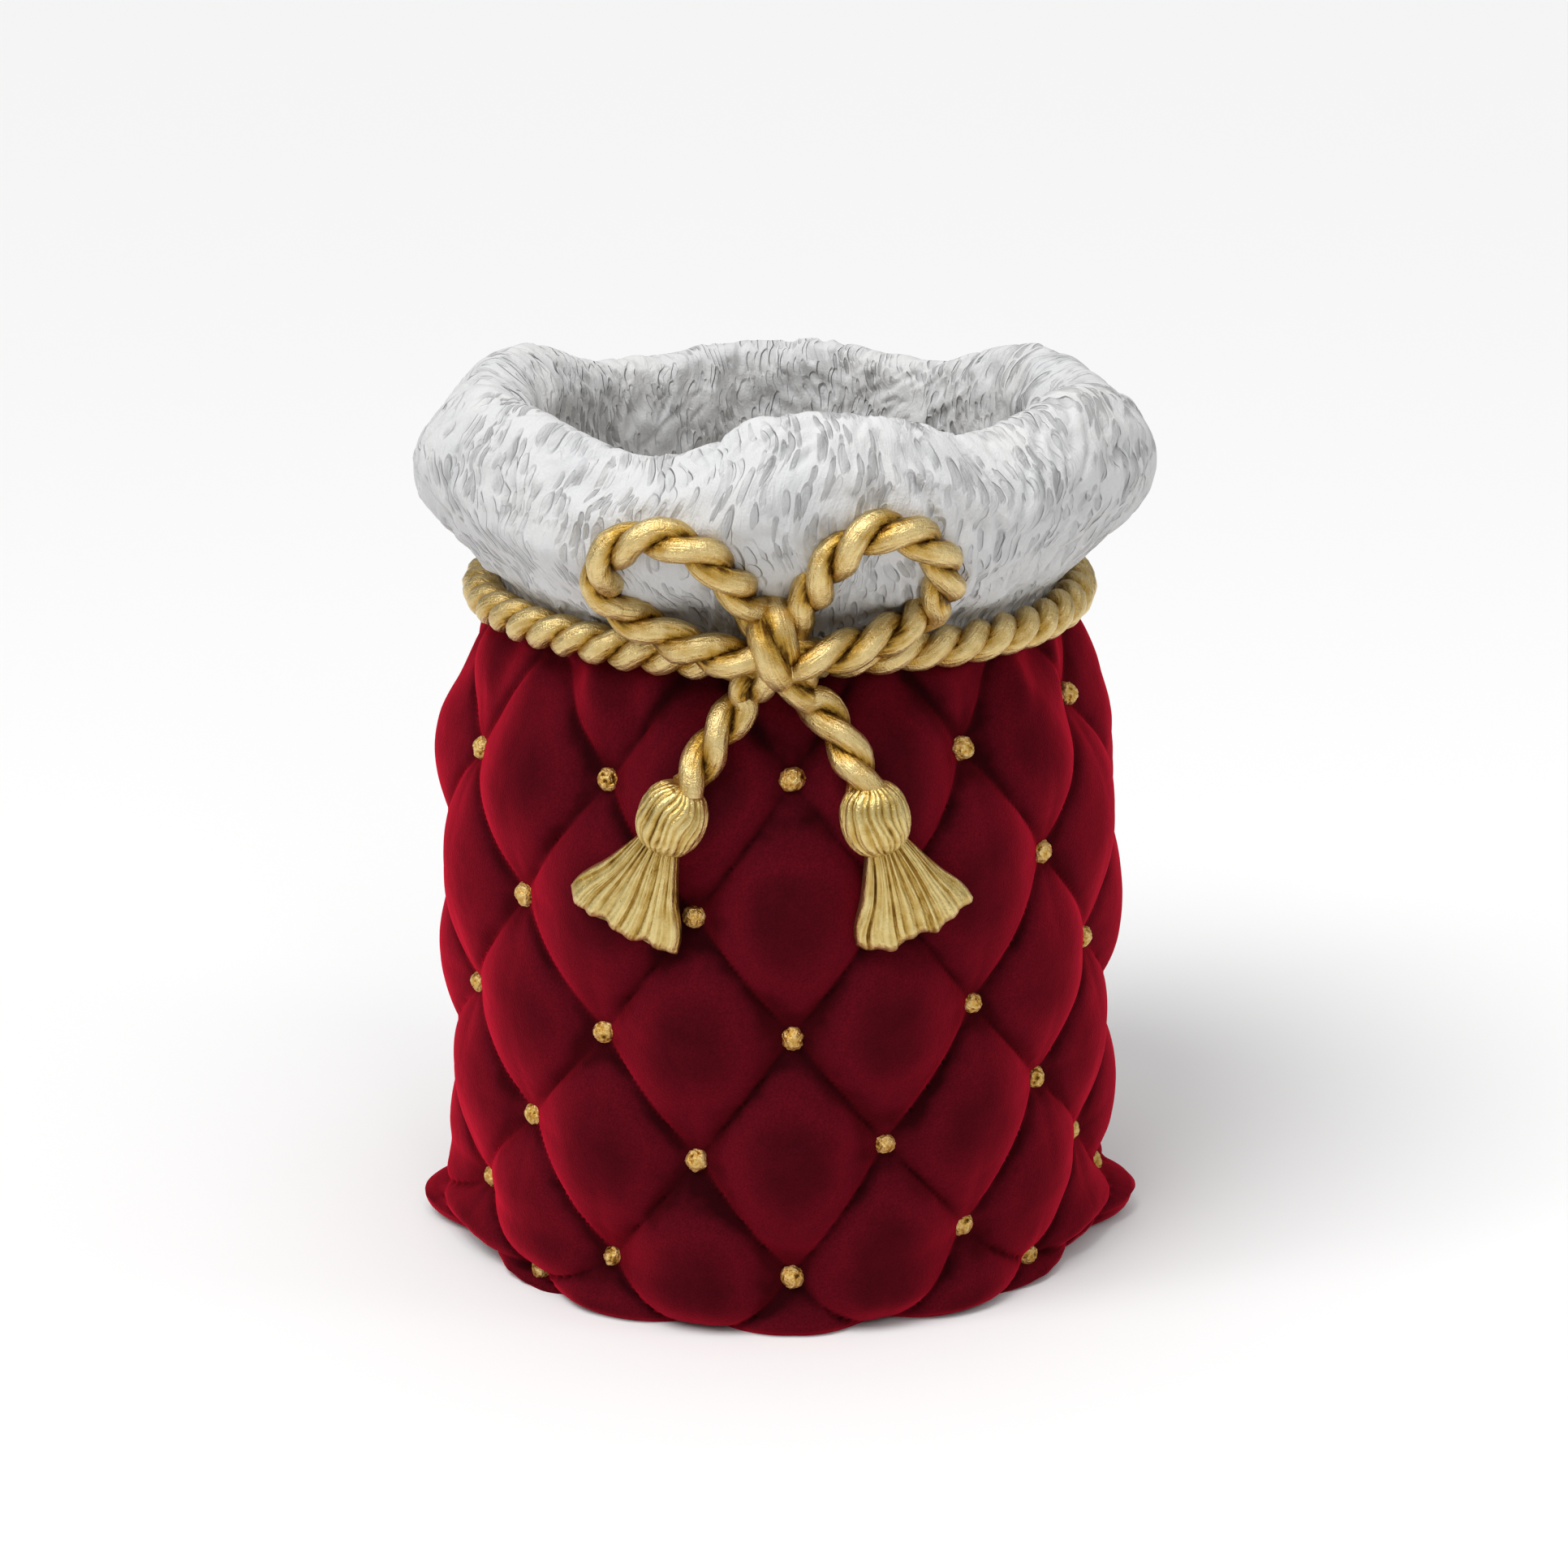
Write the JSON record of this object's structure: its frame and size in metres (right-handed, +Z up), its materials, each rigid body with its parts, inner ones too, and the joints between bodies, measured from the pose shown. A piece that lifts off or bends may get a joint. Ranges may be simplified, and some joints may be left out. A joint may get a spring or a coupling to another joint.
{
  "type": "gift sack container",
  "caption": "Rigid cast container shaped like a tied, quilted gift sack, with a rolled fur collar, a twisted cord bow, tassels and studded seams.",
  "frame": {"origin": "centre of the flat underside, on the surface the sack stands on", "axes": "+Z up out of the mouth, -Y towards the bow, +X to the right as seen from the front"},
  "size_m": [0.1894, 0.1964, 0.2355],
  "materials": {
    "flocked_body": "deep crimson flock over cast resin",
    "collar": "matte white painted cast resin, carved as fur",
    "gold_cord": "gold paint with a brown wash, on cast resin",
    "gold_tassel": "pale gold paint with a brown wash, on cast resin",
    "gold_stud": "granular gold paint on cast resin"
  },
  "bodies": {
    "root": {"sack_body": "flocked_body", "fur_collar": "collar", "neck_cord": "gold_cord", "bow_knot": "gold_cord", "bow_loop_left": "gold_cord", "cord_tail_left": "gold_cord", "tassel_head_left": "gold_tassel", "tassel_skirt_left": "gold_tassel", "bow_loop_right": "gold_cord", "cord_tail_right": "gold_cord", "tassel_head_right": "gold_tassel", "tassel_skirt_right": "gold_tassel", "stud_01": "gold_stud", "stud_02": "gold_stud", "stud_03": "gold_stud", "stud_04": "gold_stud", "stud_05": "gold_stud", "stud_06": "gold_stud", "stud_07": "gold_stud", "stud_08": "gold_stud", "stud_09": "gold_stud", "stud_10": "gold_stud", "stud_11": "gold_stud", "stud_12": "gold_stud", "stud_13": "gold_stud", "stud_14": "gold_stud", "stud_15": "gold_stud", "stud_16": "gold_stud", "stud_17": "gold_stud", "stud_18": "gold_stud", "stud_19": "gold_stud", "stud_20": "gold_stud", "stud_21": "gold_stud", "stud_22": "gold_stud", "stud_23": "gold_stud", "stud_24": "gold_stud", "stud_25": "gold_stud", "stud_26": "gold_stud", "stud_27": "gold_stud", "stud_28": "gold_stud", "stud_29": "gold_stud", "stud_30": "gold_stud", "stud_31": "gold_stud", "stud_32": "gold_stud", "stud_33": "gold_stud", "stud_34": "gold_stud", "stud_35": "gold_stud", "stud_36": "gold_stud", "stud_37": "gold_stud", "stud_38": "gold_stud", "stud_39": "gold_stud", "stud_40": "gold_stud", "stud_41": "gold_stud", "stud_42": "gold_stud", "stud_43": "gold_stud", "stud_44": "gold_stud", "stud_45": "gold_stud", "stud_46": "gold_stud", "stud_47": "gold_stud", "stud_48": "gold_stud"}
  },
  "joints": []
}
